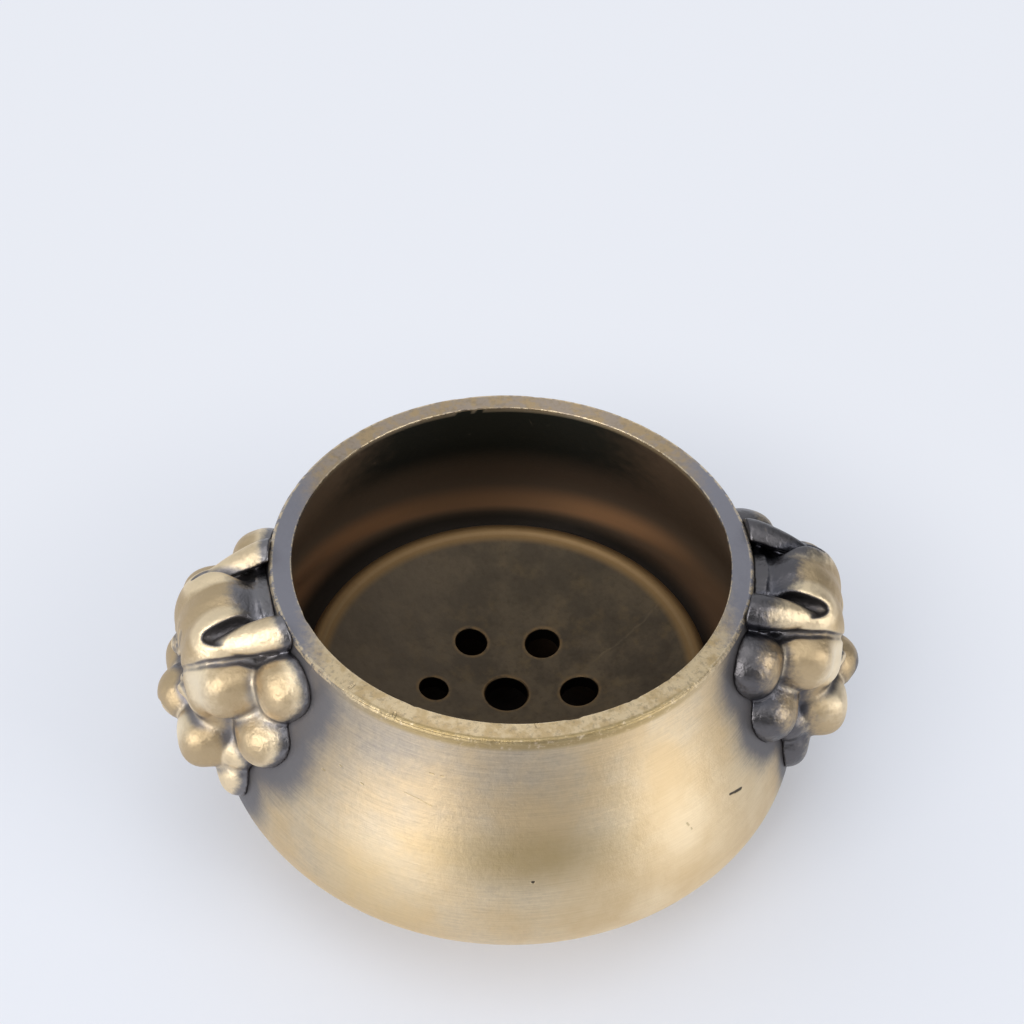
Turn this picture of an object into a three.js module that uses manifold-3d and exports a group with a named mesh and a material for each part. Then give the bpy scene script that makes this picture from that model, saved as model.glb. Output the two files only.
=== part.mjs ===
// Incense stick holder: a squat bowl on a low foot, a lion mask on each side of its shoulder,
// and a loose dished plate inside whose seven graduated holes hold the sticks.
// Millimetres, +Z up. The origin is the middle of the foot's underside, with the masks towards +X and -X.

import * as THREE from 'three';
import { mergeVertices } from 'three/addons/utils/BufferGeometryUtils.js';
import Module from 'manifold-3d';

const wasm = await Module();
wasm.setup();

// Bowl
const rimHeight = 29.5;
const rimRadius = 21;
const rimBevel = 0.2;
const bowlWall = 1.93;
const bellyRadius = 26.8;
const bellyHeight = 10.9;
const bellyClose = 0.8;
const neckRoundShare = 0.25;
const footRadius = 16;
const footWidth = 2.4;
const footRecess = 1.2;
const floorHeight = 4.2;

// Stick plate
const plateClearance = 0.37;
const lipDepth = 14.7;
const lipBead = 0.73;
const lipStep = 0.27;
const dishDepth = 3.9;
const plateThickness = 1.4;
const middleHole = 4;
const holeRingRadius = 6.8;
const largestHole = 3.75;
const holeStep = 0.26;
const holeRingCount = 6;
const holeRingTurn = -5;
const legCircle = 12;
const legTopRadius = 1.7;
const legFootRadius = 1.25;
const legSink = 0.7;
const legCount = 3;
const legTurn = 25;

// Lion masks
const maskReach = 10.6;
const maskHalfWidth = 9.4;
const maskHeight = 19;
const maskWall = 1;
const maskTurn = 8.5;

// Gap left between pieces that are soldered or that stand on each other
const seatGap = 0.3;

// Overrun of every cut
const cutOverrun = 1;

// Facets
const bowlFacets = 54;
const plateFacets = 48;
const holeFacets = 16;
const lobeFacets = 10;
const lobeRings = 7;
const lowerSteps = 6;
const neckSteps = 8;
const innerSteps = 5;
const dishSteps = 6;
const beadSteps = 6;

const mouthRadius = rimRadius - bowlWall;
const plateRadius = mouthRadius - plateClearance;
const lipTop = rimHeight - lipDepth;
const degree = Math.PI / 180;

const antiqueBrass = new THREE.MeshStandardMaterial({ color: 0xb09a68, roughness: 0.42, metalness: 1 });
const wornBrass = new THREE.MeshStandardMaterial({ color: 0xc2a970, roughness: 0.36, metalness: 1 });
const darkBrass = new THREE.MeshStandardMaterial({ color: 0x75664b, roughness: 0.5, metalness: 1 });

function solidOf(geometry) {
  const bare = geometry.clone();
  bare.deleteAttribute('normal');
  bare.deleteAttribute('uv');
  const merged = mergeVertices(bare);
  return new wasm.Manifold(new wasm.Mesh({
    numProp: 3,
    vertProperties: new Float32Array(merged.attributes.position.array),
    triVerts: new Uint32Array(merged.index.array),
  }));
}

function geometryOf(solid) {
  const mesh = solid.getMesh();
  const geometry = new THREE.BufferGeometry();
  geometry.setAttribute('position', new THREE.BufferAttribute(new Float32Array(mesh.vertProperties), 3));
  geometry.setIndex(new THREE.BufferAttribute(new Uint32Array(mesh.triVerts), 1));
  geometry.computeVertexNormals();
  return geometry;
}

// A body of revolution about Z from [radius, height] points that run upwards on its outside.
function turned(points, facets) {
  const profile = points.map(([radius, height]) => new THREE.Vector2(radius, height));
  return new THREE.LatheGeometry(profile, facets).rotateX(Math.PI / 2);
}

function steps(count) {
  return Array.from({ length: count + 1 }, (_, index) => index / count);
}

// Bowl: the neck eases out of the rim and rounds into the belly, which runs down as part of an ellipse
// that would close at bellyClose above the ground.
const bellyDrop = bellyHeight - bellyClose;

function outerRadius(height) {
  if (height < bellyHeight) {
    return bellyRadius * Math.sqrt(1 - ((bellyHeight - height) / bellyDrop) ** 2);
  }
  const down = (rimHeight - height) / (rimHeight - bellyHeight);
  const round = 2 * down - down ** 2;
  const eased = 3 * down ** 2 - 2 * down ** 3;
  return rimRadius + (bellyRadius - rimRadius) * (neckRoundShare * round + (1 - neckRoundShare) * eased);
}

function innerRadius(height) {
  if (height < bellyHeight) {
    const drop = bellyDrop - bowlWall;
    return (bellyRadius - bowlWall) * Math.sqrt(1 - ((bellyHeight - height) / drop) ** 2);
  }
  return outerRadius(height) - bowlWall;
}

const footTop = bellyHeight - bellyDrop * Math.sqrt(1 - (footRadius / bellyRadius) ** 2);

// Heights from low to high, closer together where the curve is tight near its low end.
function curveHeights(low, high, count) {
  return steps(count).map((step) => high - (high - low) * Math.cos(step * Math.PI / 2));
}

function bowlOutline(growth) {
  const lower = curveHeights(footTop, bellyHeight, lowerSteps).map((height) => [outerRadius(height) + growth, height]);
  const upper = steps(neckSteps).slice(1).map((step) => {
    const height = bellyHeight + (rimHeight - bellyHeight) * step;
    return [outerRadius(height) + growth, height];
  });
  return [...lower, ...upper];
}

function makeBowl() {
  const outside = bowlOutline(0);
  const rimEdge = outside.pop();
  const insideUpper = steps(neckSteps).slice(1, -1).map((step) => {
    const height = rimHeight - (rimHeight - bellyHeight) * step;
    return [innerRadius(height), height];
  });
  const insideLower = curveHeights(floorHeight, bellyHeight, innerSteps).reverse().map(
    (height) => [innerRadius(height), height],
  );
  return turned([
    [0, footRecess],
    [footRadius - footWidth, footRecess],
    [footRadius - footWidth, 0],
    [footRadius, 0],
    ...outside,
    [rimEdge[0], rimHeight - rimBevel],
    [rimEdge[0] - rimBevel, rimHeight],
    [mouthRadius + rimBevel, rimHeight],
    [mouthRadius, rimHeight - rimBevel],
    ...insideUpper,
    ...insideLower,
    [0, floorHeight],
  ], bowlFacets);
}

// Stick plate: a dish of one radius of curvature inside a rounded lip.
const beadRadiusOut = plateRadius - lipBead;
const beadHeight = lipTop - lipBead;
const dishEdgeAngle = Math.PI - Math.asin((lipBead - lipStep) / lipBead);
const dishEdge = beadRadiusOut + lipBead * Math.cos(dishEdgeAngle);
const dishCurve = (dishEdge ** 2 + dishDepth ** 2) / (2 * dishDepth);
const dishLow = lipTop - lipStep - dishDepth;

function dishHeight(radius) {
  return dishLow + dishCurve - Math.sqrt(dishCurve ** 2 - radius ** 2);
}

function holePlaces() {
  const ring = Array.from({ length: holeRingCount }, (_, index) => {
    const angle = ((index - 1) * 360 / holeRingCount + holeRingTurn) * degree;
    return {
      x: holeRingRadius * Math.cos(angle),
      y: holeRingRadius * Math.sin(angle),
      radius: (largestHole - holeStep * index) / 2,
    };
  });
  return [{ x: 0, y: 0, radius: middleHole / 2 }, ...ring];
}

function post(x, y, low, high, lowRadius, highRadius, facets) {
  const shape = new THREE.CylinderGeometry(highRadius, lowRadius, high - low, facets);
  shape.rotateX(Math.PI / 2).translate(x, y, (low + high) / 2);
  return solidOf(shape);
}

function makePlate() {
  const top = steps(dishSteps).slice(1).map((step) => [dishEdge * step, dishHeight(dishEdge * step)]);
  const bead = steps(beadSteps).slice(1).map((step) => {
    const angle = dishEdgeAngle - (dishEdgeAngle + Math.PI / 2) * step;
    return [beadRadiusOut + lipBead * Math.cos(angle), beadHeight + lipBead * Math.sin(angle)];
  });
  const below = top.map(([radius, height]) => [radius, height - plateThickness]);
  let plate = solidOf(turned([
    [0, dishLow - plateThickness],
    ...below,
    ...bead.reverse(),
    ...top.reverse(),
    [0, dishLow],
  ], plateFacets));
  const legTop = dishHeight(legCircle) - plateThickness + legSink;
  for (let index = 0; index < legCount; index += 1) {
    const angle = (index * 360 / legCount + legTurn) * degree;
    plate = plate.add(post(
      legCircle * Math.cos(angle), legCircle * Math.sin(angle),
      floorHeight + seatGap, legTop, legFootRadius, legTopRadius, holeFacets,
    ));
  }
  for (const hole of holePlaces()) {
    plate = plate.subtract(post(
      hole.x, hole.y, dishLow - plateThickness - cutOverrun, lipTop + cutOverrun,
      hole.radius, hole.radius, holeFacets,
    ));
  }
  return geometryOf(plate);
}

// Lion masks. Each lobe's place and half sizes are shares: outwards of the mask's reach, sideways of its
// half width, and down of its height. Its place outwards counts from the bowl's wall behind it, and down
// from the rim. Turns are degrees about the outward, sideways and upward axes. The powers of the three
// coordinates add up to 1 on a lobe, so a power of 2 makes it round and a higher one squarer. A lobe that
// stands beside the middle has a twin on the other side. Each ear narrows outwards, has a flat underside
// and lies in a groove. Between the lobes the casting is a wall that hugs the bowl.
const roundPower = 2;
const fullPower = 2.5;
const lobeShares = {
  core: { place: [-0.11, 0, 0.42], size: [0.50, 0.68, 0.38] },
  jaw: { place: [-0.17, 0, 0.72], size: [0.42, 0.64, 0.25], power: fullPower },
  filling: { place: [0.10, 0.30, 0.53], size: [0.30, 0.34, 0.17], power: fullPower },
  skull: { place: [0.28, 0, 0.23], size: [0.39, 0.34, 0.26], turn: [0, -14, 0] },
  brow: { place: [0.36, 0.27, 0.23], size: [0.32, 0.31, 0.25], turn: [0, -14, 0] },
  eye: { place: [0.48, 0.27, 0.405], size: [0.13, 0.14, 0.066] },
  nose: { place: [0.37, 0, 0.59], size: [0.26, 0.28, 0.13] },
  muzzle: { place: [0.27, 0.46, 0.65], size: [0.245, 0.28, 0.138], power: fullPower },
  cheek: { place: [0.31, 0.54, 0.285], size: [0.285, 0.27, 0.15], power: fullPower },
  cheekFront: { place: [0.44, 0.40, 0.39], size: [0.17, 0.20, 0.10], power: fullPower },
  sideCurl: { place: [-0.11, 0.69, 0.285], size: [0.29, 0.31, 0.215], turn: [-38, 14, 0], power: fullPower },
  maneCurl: { place: [-0.10, 0.80, 0.50], size: [0.34, 0.33, 0.15], turn: [-20, 0, 0], power: fullPower },
  maneTip: { place: [0.035, 0.67, 0.67], size: [0.16, 0.18, 0.088] },
  beardCurl: { place: [-0.13, 0.62, 0.83], size: [0.26, 0.28, 0.13], power: fullPower },
  chin: { place: [0.06, 0, 0.82], size: [0.22, 0.28, 0.10] },
  beard: { place: [-0.02, 0, 0.945], size: [0.19, 0.255, 0.10] },
};
const backShares = {
  upper: { place: [0, 0, 0.39], size: [0.80, 0.86, 0.38] },
  lower: { place: [0, 0, 0.66], size: [0.80, 0.66, 0.32] },
};
const grooveShares = { place: [0.25, 0.39, 0.04], size: [0.38, 0.14, 0.095], turn: [-50, 10, -4] };
const earShares = {
  place: [0.18, 0.45, 0.06], size: [0.37, 0.155, 0.08], turn: [-50, 12, -8], power: fullPower,
  taperShare: 0.33, undersideShare: 0.25,
};

function lobe(shares, side) {
  const { place, size, turn = [0, 0, 0], power = roundPower, taperShare = 0, undersideShare = 0 } = shares;
  const shape = new THREE.SphereGeometry(1, lobeFacets, lobeRings);
  const points = shape.attributes.position;
  const point = new THREE.Vector3();
  for (let index = 0; index < points.count; index += 1) {
    point.fromBufferAttribute(points, index);
    const powers = point.toArray().map((along) => Math.abs(along) ** power);
    point.divideScalar((powers[0] + powers[1] + powers[2]) ** (1 / power));
    const narrowing = 1 - taperShare * point.x;
    points.setXYZ(index, point.x, point.y * narrowing, point.z * narrowing);
  }
  const [aboutOut, aboutSide, aboutUp] = turn.map((angle) => angle * degree);
  const aside = place[1] * maskHalfWidth;
  const height = rimHeight - place[2] * maskHeight;
  const wall = Math.sqrt(outerRadius(height) ** 2 - aside ** 2);
  const matrix = new THREE.Matrix4().compose(
    new THREE.Vector3(wall + place[0] * maskReach, aside * side, height),
    new THREE.Quaternion().setFromEuler(new THREE.Euler(aboutOut * side, aboutSide, aboutUp * side, 'ZYX')),
    new THREE.Vector3(size[0] * maskReach, size[1] * maskHalfWidth, size[2] * maskHeight),
  );
  const solid = solidOf(shape.applyMatrix4(matrix));
  if (!undersideShare) {
    return solid;
  }
  const underside = new THREE.Plane(new THREE.Vector3(0, 0, 1), undersideShare).applyMatrix4(matrix);
  return solid.trimByPlane(underside.normal.toArray(), -underside.constant);
}

// The bowl's outside grown by a distance, filled in and carried on above the rim.
function filledBowl(growth) {
  const outline = bowlOutline(growth);
  return solidOf(turned([
    [0, 0],
    [outline[0][0], 0],
    ...outline,
    [outline.at(-1)[0], rimHeight + maskHeight],
    [0, rimHeight + maskHeight],
  ], bowlFacets));
}

function makeMask() {
  let mask = lobe(backShares.upper, 1).add(lobe(backShares.lower, 1)).intersect(filledBowl(seatGap + maskWall));
  for (const shares of Object.values(lobeShares)) {
    const sides = shares.place[1] > 0 ? [-1, 1] : [1];
    for (const side of sides) {
      mask = mask.add(lobe(shares, side));
    }
  }
  for (const side of [-1, 1]) {
    mask = mask.subtract(lobe(grooveShares, side)).add(lobe(earShares, side));
  }
  return geometryOf(mask.subtract(filledBowl(seatGap)));
}

function piece(name, geometry, material) {
  const mesh = new THREE.Mesh(geometry, material.clone());
  mesh.name = name;
  return mesh;
}

const holder = new THREE.Group();
holder.add(piece('bowl_body', makeBowl(), antiqueBrass));
holder.add(piece('stick_plate', makePlate(), darkBrass));

const maskGeometry = makeMask();
const maskRight = piece('lion_mask_right', maskGeometry, wornBrass);
maskRight.rotation.z = -maskTurn * degree;
const maskLeft = piece('lion_mask_left', maskGeometry, wornBrass);
maskLeft.rotation.z = Math.PI + maskTurn * degree;
holder.add(maskRight, maskLeft);

export default holder;
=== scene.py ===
"""Brass incense stick holder: a squat bowl, a lion mask on each shoulder, a dished plate with seven holes."""
import math

import bpy
import numpy as np
from mathutils import Matrix


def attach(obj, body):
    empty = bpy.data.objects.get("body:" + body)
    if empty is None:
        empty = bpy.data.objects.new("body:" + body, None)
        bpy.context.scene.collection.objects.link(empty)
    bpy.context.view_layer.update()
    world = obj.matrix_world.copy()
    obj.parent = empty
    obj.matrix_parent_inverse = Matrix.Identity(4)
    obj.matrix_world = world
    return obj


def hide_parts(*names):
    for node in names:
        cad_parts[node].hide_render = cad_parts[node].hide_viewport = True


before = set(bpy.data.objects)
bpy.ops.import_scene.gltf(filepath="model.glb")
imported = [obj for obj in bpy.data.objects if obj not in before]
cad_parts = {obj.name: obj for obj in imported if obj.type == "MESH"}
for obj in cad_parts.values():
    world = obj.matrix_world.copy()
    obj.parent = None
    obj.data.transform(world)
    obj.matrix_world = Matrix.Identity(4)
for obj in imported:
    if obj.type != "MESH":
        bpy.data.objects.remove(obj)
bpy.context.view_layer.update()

# Sizes are in millimetres, and the finished meshes in metres.
MM = 0.001

# Bowl
RIM_HEIGHT = 29.5
RIM_RADIUS = 21.0
RIM_OUTER_ROUND = 0.34
RIM_INNER_ROUND = 0.16
BOWL_WALL = 1.93
BELLY_RADIUS = 26.8
BELLY_HEIGHT = 10.9
BELLY_CLOSE = 0.8
NECK_ROUND_SHARE = 0.25
FOOT_RADIUS = 16.0
FOOT_WIDTH = 2.4
FOOT_RECESS = 1.2
FLOOR_HEIGHT = 4.2
BELLY_DROP = BELLY_HEIGHT - BELLY_CLOSE
MOUTH_RADIUS = RIM_RADIUS - BOWL_WALL

# Wear of the bowl's shape: how far it sways from round, and the dents in the edges of its rim
SWAY = 0.08
DENT_DEPTH = 0.16
DENTED_DEPTH = 0.6
DENT_FALL = 0.6
SWAY_PATTERN = (60, 60, 60)
DENT_PATTERN = (700, 700, 250)

# Stick plate
PLATE_RADIUS = MOUTH_RADIUS - 0.37
LIP_TOP = RIM_HEIGHT - 14.7
LIP_BEAD = 0.73
LIP_STEP = 0.27
DISH_DEPTH = 3.9
PLATE_THICKNESS = 1.4
MIDDLE_HOLE = 4.0
HOLE_RING_RADIUS = 6.8
LARGEST_HOLE = 3.75
HOLE_STEP = 0.26
HOLE_COUNT = 6
HOLE_TURN = -5.0
LEG_CIRCLE = 12.0
LEG_TOP_RADIUS = 1.7
LEG_FOOT_RADIUS = 1.25
LEG_SINK = 0.7
HOLE_CHAMFER_SHARE = 0.02
CUTTER_HEIGHT = 8
LEG_COUNT = 3
LEG_TURN = 25.0
LEG_CLEARANCE = 0.05

# Lion masks
MASK_REACH = 10.6
MASK_HALF_WIDTH = 9.4
MASK_HEIGHT = 19.0
MASK_WALL = 1.0
MASK_TURN = 8.5
MASK_SEAT = 0.03

# Fineness of the meshes
BOWL_FACETS = 320
PLATE_FACETS = 192
HOLE_FACETS = 48
BOWL_SHARP_ANGLE = math.radians(50)
PLATE_SHARP_ANGLE = math.radians(30)
MASK_CELL = 0.15


def placed(name, data):
    """A new object at the origin."""
    made = bpy.data.objects.new(name, data)
    bpy.context.scene.collection.objects.link(made)
    return made


def empty_tree(owner):
    """The emptied node tree of a material or a world."""
    owner.use_nodes = True
    owner.node_tree.nodes.clear()
    return owner.node_tree


class Value:
    """A node's output, on which Python's operators add Math nodes."""

    def __init__(self, graph, socket):
        self.graph = graph
        self.socket = socket

    def math(self, operation, *others):
        return self.graph.node("ShaderNodeMath", {"operation": operation}, dict(enumerate((self, *others))))

    def __add__(self, other):
        return self.math("ADD", other)

    def __radd__(self, other):
        return self.math("ADD", other)

    def __sub__(self, other):
        return self.math("SUBTRACT", other)

    def __rsub__(self, other):
        return self.graph.node("ShaderNodeMath", {"operation": "SUBTRACT"}, {0: other, 1: self})

    def __mul__(self, other):
        return self.math("MULTIPLY", other)

    def __rmul__(self, other):
        return self.math("MULTIPLY", other)

    def __truediv__(self, other):
        return self.math("DIVIDE", other)

    def fade(self, low, high):
        """0 at low and 1 at high, smoothly between them."""
        ends = {"From Min": low, "From Max": high}
        return self.graph.node("ShaderNodeMapRange", {"interpolation_type": "SMOOTHSTEP"}, {"Value": self, **ends})

    def output(self, name):
        return Value(self.graph, self.socket.node.outputs[name])


class Graph:
    """A node tree that is being written."""

    def __init__(self, tree):
        self.tree = tree

    def feed(self, socket, value):
        if isinstance(value, list):
            for one in value:
                self.feed(socket, one)
        elif isinstance(value, Value):
            self.tree.links.new(value.socket, socket)
        elif isinstance(value, tuple) and socket.type == "RGBA":
            socket.default_value = (*value, 1)
        else:
            socket.default_value = value

    def node(self, kind, settings=None, sockets=None, output=0):
        made = self.tree.nodes.new(kind)
        for name, value in (settings or {}).items():
            setattr(made, name, value)
        for name, value in (sockets or {}).items():
            if isinstance(name, int):
                self.feed(made.inputs[name], value)
            else:
                self.feed(next(socket for socket in made.inputs if socket.identifier == name), value)
        return Value(self, made.outputs[output]) if len(made.outputs) else made

    def vector(self, x, y, z):
        return self.node("ShaderNodeCombineXYZ", sockets={0: x, 1: y, 2: z})

    def vectors(self, operation, first, second, output=0):
        return self.node("ShaderNodeVectorMath", {"operation": operation}, {0: first, 1: second}, output)

    def stretch(self, vector, factors):
        return self.vectors("MULTIPLY", vector, factors)

    def scaled(self, vector, factor):
        return self.node("ShaderNodeVectorMath", {"operation": "SCALE"}, {0: vector, "Scale": factor})

    def distance(self, vector, point):
        return self.vectors("DISTANCE", vector, point, "Value")

    def dot(self, first, second):
        return self.vectors("DOT_PRODUCT", first, second, "Value")

    def parts(self, vector):
        """The X, Y and Z of a vector."""
        split = self.node("ShaderNodeSeparateXYZ", sockets={0: vector})
        return [split.output(axis) for axis in "XYZ"]

    def mix(self, factor, first, second):
        colours = {"Factor_Float": factor, "A_Color": first, "B_Color": second}
        return self.node("ShaderNodeMix", {"data_type": "RGBA"}, colours, 2)

    def noise(self, vector, scale, detail=3.0, seed=0.0, roughness=0.55):
        sockets = {"Vector": vector, "Scale": scale, "Detail": detail, "W": seed, "Roughness": roughness}
        return self.node("ShaderNodeTexNoise", {"noise_dimensions": "4D"}, sockets)


# Shapes by rule

def wall_radius(height):
    """Radius of the bowl's outside at a height."""
    height = np.asarray(height, float)
    low = np.clip((BELLY_HEIGHT - height) / BELLY_DROP, 0, 0.999)
    down = np.clip((RIM_HEIGHT - height) / (RIM_HEIGHT - BELLY_HEIGHT), 0, 1)
    rounded = 2 * down - down ** 2
    eased = 3 * down ** 2 - 2 * down ** 3
    spread = NECK_ROUND_SHARE * rounded + (1 - NECK_ROUND_SHARE) * eased
    upper = RIM_RADIUS + (BELLY_RADIUS - RIM_RADIUS) * spread
    return np.where(height < BELLY_HEIGHT, BELLY_RADIUS * np.sqrt(1 - low ** 2), upper)


def inner_radius(height):
    """Radius of the bowl's inside at a height."""
    height = np.asarray(height, float)
    low = np.clip((BELLY_HEIGHT - height) / (BELLY_DROP - BOWL_WALL), 0, 0.999)
    lower = (BELLY_RADIUS - BOWL_WALL) * np.sqrt(1 - low ** 2)
    return np.where(height < BELLY_HEIGHT, lower, wall_radius(height) - BOWL_WALL)


def rounded_profile(corners, arc_steps=6):
    """Points of a profile of (radius, height, round) corners, each round running that far along both sides."""
    points = []
    count = len(corners)
    for index, (radius, height, size) in enumerate(corners):
        corner = np.array([radius, height])
        if not size:
            points.append(corner)
            continue
        sides = [np.array(corners[beside % count][:2]) - corner for beside in (index - 1, index + 1)]
        before, after = (side / np.linalg.norm(side) for side in sides)
        points.append(corner + before * size * 1.3)
        for step in np.linspace(0, 1, arc_steps + 1):
            points.append(corner + before * size * (1 - step) ** 2 + after * size * step ** 2)
        points.append(corner + after * size * 1.3)
    return points


def bowl_profile():
    foot_top = BELLY_HEIGHT - BELLY_DROP * math.sqrt(1 - (FOOT_RADIUS / BELLY_RADIUS) ** 2)
    low_turn = np.linspace(0, math.pi / 2, 34)[1:]
    low = BELLY_HEIGHT - (BELLY_HEIGHT - foot_top) * np.cos(low_turn)
    high = np.linspace(BELLY_HEIGHT, RIM_HEIGHT - 2 * RIM_OUTER_ROUND, 52)[1:]
    outside = [(float(wall_radius(h)), float(h), 0) for h in (*low, *high)]
    inner_high = np.linspace(RIM_HEIGHT - 2 * RIM_OUTER_ROUND, BELLY_HEIGHT, 40)
    inner_low = BELLY_HEIGHT - (BELLY_HEIGHT - FLOOR_HEIGHT - 0.6) * np.sin(np.linspace(0, math.pi / 2, 16))[1:]
    inside = [(float(inner_radius(h)), float(h), 0) for h in (*inner_high, *inner_low)]
    floor_edge = float(inner_radius(FLOOR_HEIGHT + 0.2)) - 0.4
    return rounded_profile([
        (0, FOOT_RECESS, 0),
        (FOOT_RADIUS - FOOT_WIDTH, FOOT_RECESS, 0.3),
        (FOOT_RADIUS - FOOT_WIDTH, 0, 0.3),
        (FOOT_RADIUS, 0, 0.4),
        (FOOT_RADIUS, foot_top, 0.45),
        *outside,
        (RIM_RADIUS, RIM_HEIGHT, RIM_OUTER_ROUND),
        (MOUTH_RADIUS, RIM_HEIGHT, RIM_INNER_ROUND),
        *inside,
        (floor_edge, FLOOR_HEIGHT, 0.3),
        (floor_edge / 2, FLOOR_HEIGHT, 0),
        (0, FLOOR_HEIGHT, 0),
    ])


DISH_LOW = LIP_TOP - LIP_STEP - DISH_DEPTH
BEAD_CENTRE = PLATE_RADIUS - LIP_BEAD
BEAD_ANGLE = math.pi - math.asin((LIP_BEAD - LIP_STEP) / LIP_BEAD)
DISH_EDGE = BEAD_CENTRE + LIP_BEAD * math.cos(BEAD_ANGLE)
DISH_CURVE = (DISH_EDGE ** 2 + DISH_DEPTH ** 2) / (2 * DISH_DEPTH)


def dish_height(radius):
    return DISH_LOW + DISH_CURVE - math.sqrt(DISH_CURVE ** 2 - radius ** 2)


def plate_profile():
    radii = np.linspace(0, DISH_EDGE, 40)
    top = [(r, dish_height(r)) for r in radii]
    below = [(r, h - PLATE_THICKNESS) for r, h in top]
    turns = np.linspace(-math.pi / 2, BEAD_ANGLE, 26)[:-1]
    bead = [(BEAD_CENTRE + LIP_BEAD * math.cos(t), LIP_TOP - LIP_BEAD + LIP_BEAD * math.sin(t)) for t in turns]
    return [*below, *bead, *reversed(top)]


def leg_profile():
    foot = FLOOR_HEIGHT + LEG_CLEARANCE
    top = dish_height(LEG_CIRCLE) - PLATE_THICKNESS + LEG_SINK
    return rounded_profile([
        (0, foot, 0),
        (LEG_FOOT_RADIUS, foot, 0.3),
        (LEG_TOP_RADIUS, top - 2 * LEG_SINK, 0),
        (LEG_TOP_RADIUS, top, 0),
        (0, top, 0),
    ])


# Geometry Nodes

def geometry_tree(name, labels_by_kind):
    """A geometry tree with named inputs, its Graph and a lookup of its input values."""
    tree = bpy.data.node_groups.new(name, "GeometryNodeTree")
    tree.interface.new_socket("Geometry", in_out="INPUT", socket_type="NodeSocketGeometry")
    tree.interface.new_socket("Geometry", in_out="OUTPUT", socket_type="NodeSocketGeometry")
    for kind, labels in labels_by_kind.items():
        for label in labels:
            tree.interface.new_socket(label, in_out="INPUT", socket_type="NodeSocket" + kind)
    graph = Graph(tree)
    source = tree.nodes.new("NodeGroupInput")
    return graph, {socket.name: Value(graph, socket) for socket in source.outputs if socket.name}


def end_tree(graph, result):
    sink = graph.tree.nodes.new("NodeGroupOutput")
    graph.feed(sink.inputs[0], result)
    return graph.tree


def on_circle(radius, angle):
    """X and Y at a radius and an angle."""
    return radius * angle.math("COSINE"), radius * angle.math("SINE")


def shifted(graph, geometry, offset):
    return graph.node("GeometryNodeSetPosition", sockets={"Geometry": geometry, "Offset": offset})


def instanced(graph, points, instance, **sockets):
    found = {"Points": points, "Instance": instance, **sockets}
    return graph.node("GeometryNodeInstanceOnPoints", sockets=found)


def realized(graph, geometry):
    return graph.node("GeometryNodeRealizeInstances", sockets={"Geometry": geometry})


def cut_from(graph, body, cutters):
    meshes = {"Mesh 1": body, "Mesh 2": realized(graph, cutters)}
    return graph.node("GeometryNodeMeshBoolean", {"operation": "DIFFERENCE", "solver": "EXACT"}, meshes)


def turning_tree():
    """Turns loose profile points, with their radius along X, once round Z and closes seam and poles."""
    graph, given = geometry_tree("turned_about_z", {"Int": ["Facets"]})
    count = graph.node("GeometryNodeAttributeDomainSize", sockets={"Geometry": given["Geometry"]})
    index = graph.node("GeometryNodeInputIndex")
    step = index.math("MODULO", count)
    column = (index / count).math("FLOOR")
    place = graph.node("GeometryNodeInputPosition")
    found = graph.node(
        "GeometryNodeSampleIndex", {"data_type": "FLOAT_VECTOR"},
        {"Geometry": given["Geometry"], "Value": place, "Index": step},
    )
    radius, _, height = graph.parts(found)
    angle = column * math.tau / given["Facets"]
    grid = graph.node("GeometryNodeMeshGrid", sockets={"Vertices X": given["Facets"] + 1, "Vertices Y": count})
    moved = graph.node("GeometryNodeSetPosition", sockets={
        "Geometry": grid, "Position": graph.vector(*on_circle(radius, angle), height),
    })
    merged = graph.node("GeometryNodeMergeByDistance", sockets={"Geometry": moved, "Distance": 1e-7})
    return end_tree(graph, merged)


TURNING = turning_tree()


def turned(graph, profile, facets):
    return graph.node("GeometryNodeGroup", {"node_tree": TURNING}, {0: profile, 1: facets})


def finished(graph, geometry, material, sharp_angle):
    """Smooth shading but for edges sharper than an angle, real geometry, and the material."""
    smooth = graph.node("GeometryNodeSetShadeSmooth", {"domain": "FACE"}, {"Geometry": geometry})
    sharp = graph.node("GeometryNodeInputMeshEdgeAngle").math("GREATER_THAN", sharp_angle)
    edged = graph.node("GeometryNodeSetShadeSmooth", {"domain": "EDGE"}, {
        "Geometry": smooth, "Selection": sharp, "Shade Smooth": False,
    })
    return graph.node("GeometryNodeSetMaterial", sockets={"Geometry": realized(graph, edged), "Material": material})


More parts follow.
